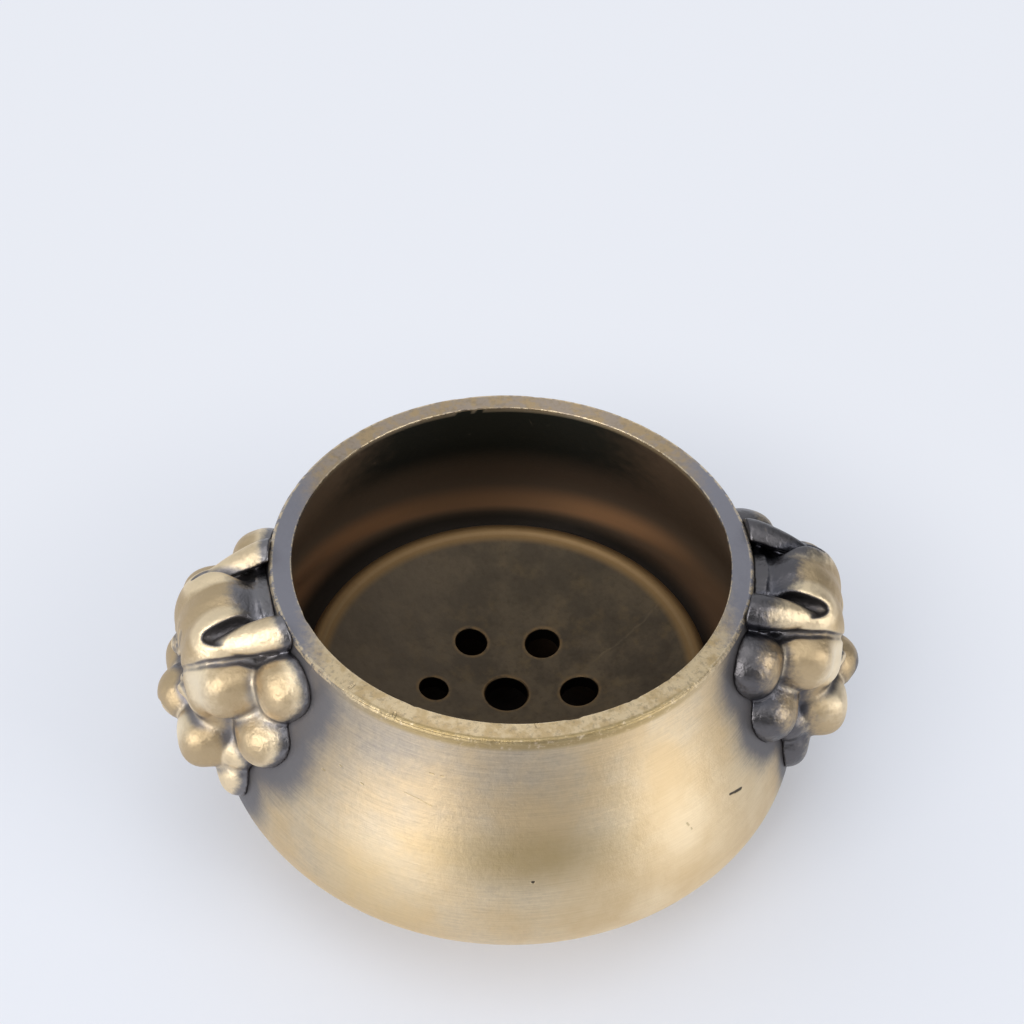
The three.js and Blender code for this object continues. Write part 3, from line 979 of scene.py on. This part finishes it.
# Nicks in the belly and rim, then fine scratches and small pits: both ends and radius.
NICKS = [
    ((17.37, -18.33, 17.75), (18.0, -17.86, 17.49), 0.14),
    ((17.9, -17.94, 17.52), (18.54, -17.42, 17.28), 0.19),
    ((-0.2, -25.56, 16.93), (-0.08, -25.56, 16.93), 0.17),
    ((0.28, -19.0, 29.5), (0.4, -19.5, 29.5), 0.24),
    ((-10.92, -17.4, 29.5), (-11.0, -17.7, 29.5), 0.2),
    ((-14.1, -14.2, 29.5), (-14.4, -14.5, 29.5), 0.15),
]
SCRATCHES = [
    ((-10.41, -20.47, 23.21), (-9.23, -21.12, 23.02), 0.05),
    ((-9.23, -21.12, 23.02), (-8.2, -21.67, 22.73), 0.05),
    ((-8.29, -20.46, 25.5), (-8.0, -20.58, 25.5), 0.08),
    ((-7.4, -20.8, 25.5), (-7.2, -20.86, 25.5), 0.08),
    ((-16.96, -16.45, 21.65), (-16.8, -16.6, 21.65), 0.12),
    ((-15.53, -17.11, 22.89), (-15.4, -17.25, 22.85), 0.11),
    ((-13.86, -18.72, 22.43), (-13.7, -18.85, 22.4), 0.11),
    ((13.17, -21.38, 18.13), (13.35, -21.4, 17.85), 0.12),
    ((13.6, -21.44, 17.5), (13.66, -21.44, 17.33), 0.1),
]
# One crooked scratch down the back of the inside.
WALL_SCRATCH = [
    ((3.37, 19.13, 27.8), (4.16, 19.56, 25.5), 0.07),
    ((4.16, 19.56, 25.5), (4.13, 20.28, 23.2), 0.06),
    ((4.13, 20.28, 23.2), (2.17, 20.69, 22.9), 0.07),
]


# Stage. Angles are in degrees and distances in metres.
LENS = 67.93
SENSOR = 36.0
NEAREST_SEEN = 0.01
CAMERA_PLACE = (-13.42 * MM, -116.98 * MM, 149.33 * MM)
CAMERA_TURN = (45.681, -1.5475, -4.9738)
FLOOR_RADIUS = 4
FLOOR_CORNERS = 64
PALE = (0.825, 0.85, 0.915)
FLOOR_COLOUR = (0.78, 0.80, 0.855)
# How much of the plain pale colour the floor shows beside the bowl and far from it, and where the one ends. Showing
# less of it beside the bowl paints a darker shade round the bowl, over its real shadow.
NEAR_GLOW = 0.1
FAR_GLOW = 0.9
GLOW_FADE = (0.03, 0.072)
ROOM_COLOUR = (0.9, 0.94, 1.0)
ROOM_LEVEL = 0.75
# Dim parts of the room: turn, lift, where they end, where they are full, and how much they take away.
DIM_PARTS = ((-86, 12, 40, 20, 0.70), (5, 8, 60, 15, 0.64))
LAMP_COLOUR = (1.0, 0.99, 0.985)
# Soft boxes: turn, lift, distance, width and power.
SOFTBOXES = {
    "left_softbox": (-134, 27, 0.55, 0.32, 1.32),
    "right_softbox": (-34, 23, 0.55, 0.28, 0.9),
    "high_softbox": (-116, 42, 0.55, 0.14, 0.28),
    "top_softbox": (-90, 78, 0.7, 0.4, 0.5),
}


def toward(turn, lift):
    """The direction at a turn about Z and a lift above the floor."""
    turn, lift = math.radians(turn), math.radians(lift)
    return math.cos(turn) * math.cos(lift), math.sin(turn) * math.cos(lift), math.sin(lift)


def look_through_camera():
    camera = bpy.data.cameras.new("camera")
    camera.lens = LENS
    camera.sensor_width = SENSOR
    camera.clip_start = NEAREST_SEEN
    made = placed("camera", camera)
    made.location = CAMERA_PLACE
    made.rotation_euler = [math.radians(angle) for angle in CAMERA_TURN]
    bpy.context.scene.camera = made


def lay_floor():
    """A round floor that shows its plain pale colour far from the bowl, and beside it its shadow deepened by a
    painted shade.
    """
    turns = np.linspace(0, math.tau, FLOOR_CORNERS, endpoint=False)
    mesh = bpy.data.meshes.new("floor")
    corners = [(FLOOR_RADIUS * math.cos(turn), FLOOR_RADIUS * math.sin(turn), 0) for turn in turns]
    mesh.from_pydata(corners, [], [tuple(range(FLOOR_CORNERS))])
    material = bpy.data.materials.new("pale_floor")
    graph = Graph(empty_tree(material))
    path = graph.node("ShaderNodeLightPath")
    seen = path.math("MAXIMUM", path.output("Is Glossy Ray")).math("MAXIMUM", path.output("Is Transmission Ray"))
    matt = graph.node("ShaderNodeBsdfDiffuse", sockets={"Color": FLOOR_COLOUR})
    plain = graph.node("ShaderNodeEmission", sockets={"Color": PALE, "Strength": 1.0})
    away = graph.distance(graph.node("ShaderNodeTexCoord", output="Object"), (0, 0, 0))
    glow = NEAR_GLOW + away.fade(*GLOW_FADE) * (FAR_GLOW - NEAR_GLOW)
    shader = graph.node("ShaderNodeMixShader", sockets={0: seen * glow, 1: matt, 2: plain})
    graph.node("ShaderNodeOutputMaterial", sockets={"Surface": shader})
    mesh.materials.append(material)
    placed("floor", mesh)


def light_room():
    """A pale room that is dimmer behind the camera and on the right, and soft boxes on both sides."""
    world = bpy.data.worlds.new("pale_room")
    bpy.context.scene.world = world
    graph = Graph(empty_tree(world))
    facing = graph.node("ShaderNodeTexCoord", output="Generated")
    level = ROOM_LEVEL
    for turn, lift, wide, narrow, taken in DIM_PARTS:
        dim = graph.dot(facing, toward(turn, lift)).fade(math.cos(math.radians(wide)), math.cos(math.radians(narrow)))
        level = level - dim * taken
    seen = graph.node("ShaderNodeLightPath")
    colour = graph.mix(seen, ROOM_COLOUR, PALE)
    surface = graph.node("ShaderNodeBackground", sockets={"Color": colour, "Strength": level * (1 - seen) + seen})
    graph.node("ShaderNodeOutputWorld", sockets={"Surface": surface})
    for name, (turn, lift, away, width, power) in SOFTBOXES.items():
        light = bpy.data.lights.new(name, "AREA")
        light.shape = "SQUARE"
        light.size = width
        light.energy = power
        light.color = LAMP_COLOUR
        made = placed(name, light)
        made.location = [away * along for along in toward(turn, lift)]
        made.rotation_euler = (math.pi / 2 - math.radians(lift), 0, math.radians(turn) + math.pi / 2)


# The whole

def belongs(piece, body, node):
    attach(piece, body)
    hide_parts(node)


def to_mask(points, turn):
    """Points in the frame of a mask that is turned about Z."""
    cosine, sine = math.cos(-turn), math.sin(-turn)
    return np.stack([
        points[:, 0] * cosine - points[:, 1] * sine, points[:, 0] * sine + points[:, 1] * cosine, points[:, 2],
    ], 1)


MASK_TURNS = {
    "right": math.radians(-MASK_TURN),
    "left": math.radians(180 + MASK_TURN),
}
# How far from the bowl's wall each mask kept its grey skin, and grey patches beyond that, in millimetres. On the
# right mask the longer reach and the patches are partly patina and partly painted dark reflection.
GREY_REACH = {"right": 2.8, "left": 1.0}
GREY_PATCHES = {
    "right": (((0.1, 0, 0.03), 3.4), ((0.3, 0.45, 0.08), 4.0), ((0.6, 0, 0.64), 2.3)),
    "left": (((0.08, 0, 0.02), 3.0),),
}
# Painted highlights on each mask, where its lobes catch the light brightest.
PAINTED_HIGHLIGHT_PATCHES = {
    "right": (((0.55, -0.5, 0.32), 3.2), ((0.40, -0.50, 0.60), 2.2)),
    "left": (((0.5, 0.5, 0.27), 2.8), ((0.45, 0.45, 0.60), 1.8), ((0.15, 0.8, 0.27), 2.0)),
}
# How far a mask's grey reaches over the bowl, how much that differs by side, and how much it grows with height:
# from which height, and over how much of it.
BOWL_GREY = 3.0
BOWL_GREY_BY_SIDE = 0.8
BOWL_GREY_ABOVE = 0.5
BOWL_GREY_RISE = (18, 8)
# Parts of the rim by their depth below its top, and its edges also by their width.
WALL_TOP = 0.22
FLAT_TOP = 0.12
OUTER_EDGE = (0.4, 0.25)
INNER_EDGE = (0.2, 0.12)
# The box round the right-hand mask: in from the rim's wall and out from the belly, sideways, and below and
# above the rim.
MASK_BOX = ((2.5, 6.5), 11.5, (22, 1.5))
# Depths at which a mask is probed for how much metal it has there, and the share above which it isn't raised.
PROBES = (0.5, 1.0, 1.8)
MOST_METAL = 0.93


def patched(spots, patches):
    """1 in the middle of the patches, each a place in the mask's shares and a radius."""
    total = np.zeros(len(spots))
    for place, radius in patches:
        away = np.linalg.norm(spots - in_mask(place, 1), axis=1) / radius
        total = np.maximum(total, np.exp(-away ** 2))
    return total


def make_bowl():
    bowl = grown("bowl_turned", bowl_profile(), bowl_tree(), {
        "Facets": BOWL_FACETS, "Unevenness": SWAY * MM, "Dent depth": DENT_DEPTH * MM,
        "Rim height": RIM_HEIGHT * MM, "Mouth radius": MOUTH_RADIUS * MM, "Wall": BOWL_WALL * MM,
        "Material": bowl_finish(),
    })
    places = mesh_points(bowl.data)
    heights = places[:, 2]
    spread = np.hypot(places[:, 0], places[:, 1])
    to_nearest = np.minimum(*(mask_distance(to_mask(places, turn)) for turn in MASK_TURNS.values()))
    rise_from, rise_over = BOWL_GREY_RISE
    reach = BOWL_GREY - BOWL_GREY_BY_SIDE * np.clip(places[:, 0] / 10, -1, 1)
    reach = reach * (1 + BOWL_GREY_ABOVE * np.clip((heights - rise_from) / rise_over, 0, 1))
    middle = (wall_radius(heights) + inner_radius(heights)) / 2
    outer_edge = (heights > RIM_HEIGHT - OUTER_EDGE[0]) & (spread > RIM_RADIUS - OUTER_EDGE[1])
    inner_edge = (heights > RIM_HEIGHT - INNER_EDGE[0]) & (spread < MOUTH_RADIUS + INNER_EDGE[1])
    below_top = (heights > FLOOR_HEIGHT - 0.5) & (heights < RIM_HEIGHT - WALL_TOP)
    store(bowl.data, "near_mask", np.exp(-np.clip(to_nearest, 0, None) / reach))
    store(bowl.data, "inside", (spread < middle) & below_top)
    store(bowl.data, "rim_top", heights > RIM_HEIGHT - FLAT_TOP)
    store(bowl.data, "rim_edge", outer_edge | inner_edge)
    belongs(bowl, "bowl", "bowl_body")


def make_plate():
    leg_outline = points_object("leg_outline", leg_profile())
    plate = grown("plate_drilled", plate_profile(), plate_tree(), {
        "Plate facets": PLATE_FACETS, "Hole facets": HOLE_FACETS, "Leg profile": leg_outline,
        "Ring radius": HOLE_RING_RADIUS * MM, "Ring holes": HOLE_COUNT, "Ring turn": math.radians(HOLE_TURN),
        "Middle hole": MIDDLE_HOLE * MM, "Largest hole": LARGEST_HOLE * MM, "Hole step": HOLE_STEP * MM,
        "Dish low": DISH_LOW * MM, "Dish curve": DISH_CURVE * MM, "Chamfer share": HOLE_CHAMFER_SHARE,
        "Legs": LEG_COUNT, "Leg circle": LEG_CIRCLE * MM, "Leg turn": math.radians(LEG_TURN),
        "Cutter height": CUTTER_HEIGHT * MM, "Material": plate_finish(),
    })
    bpy.data.objects.remove(leg_outline)
    belongs(plate, "plate", "stick_plate")


def make_masks():
    """Both masks, from one surface that is found in the frame of the right-hand one."""
    (inwards, outwards), aside, (below, above) = MASK_BOX
    low = np.array([wall_radius(RIM_HEIGHT) - inwards, -aside, RIM_HEIGHT - below])
    high = np.array([BELLY_RADIUS + outwards, aside, RIM_HEIGHT + above])
    points, faces = surface_net(mask_distance, low, high, MASK_CELL)
    points = settled(mask_distance, points, MASK_CELL)
    outward = slopes(mask_distance, points)
    outward /= np.linalg.norm(outward, axis=1)[:, None]
    closed_in = sheltered(mask_distance, points, outward)
    from_bowl = np.clip(bowl_distance(points), 0, None)
    metal = sum(np.clip(-mask_distance(points - outward * probe) / probe, 0, 1) for probe in PROBES) / len(PROBES)
    finish = mask_finish()
    for side, turn in MASK_TURNS.items():
        mask = mesh_object("mask_cast_" + side, to_mask(points, -turn), faces, finish)
        grey = np.maximum(np.exp(-from_bowl / GREY_REACH[side]), patched(points, GREY_PATCHES[side]))
        store(mask.data, "hollow", closed_in)
        store(mask.data, "unpolished", grey)
        store(mask.data, "rubbed", patched(points, PAINTED_HIGHLIGHT_PATCHES[side]))
        store(mask.data, "raised", np.clip((MOST_METAL - metal) * 3, 0, 1))
        belongs(mask, "bowl", "lion_mask_" + side)


look_through_camera()
lay_floor()
light_room()
make_bowl()
make_plate()
make_masks()

bpy.context.scene.view_settings.view_transform = "Standard"
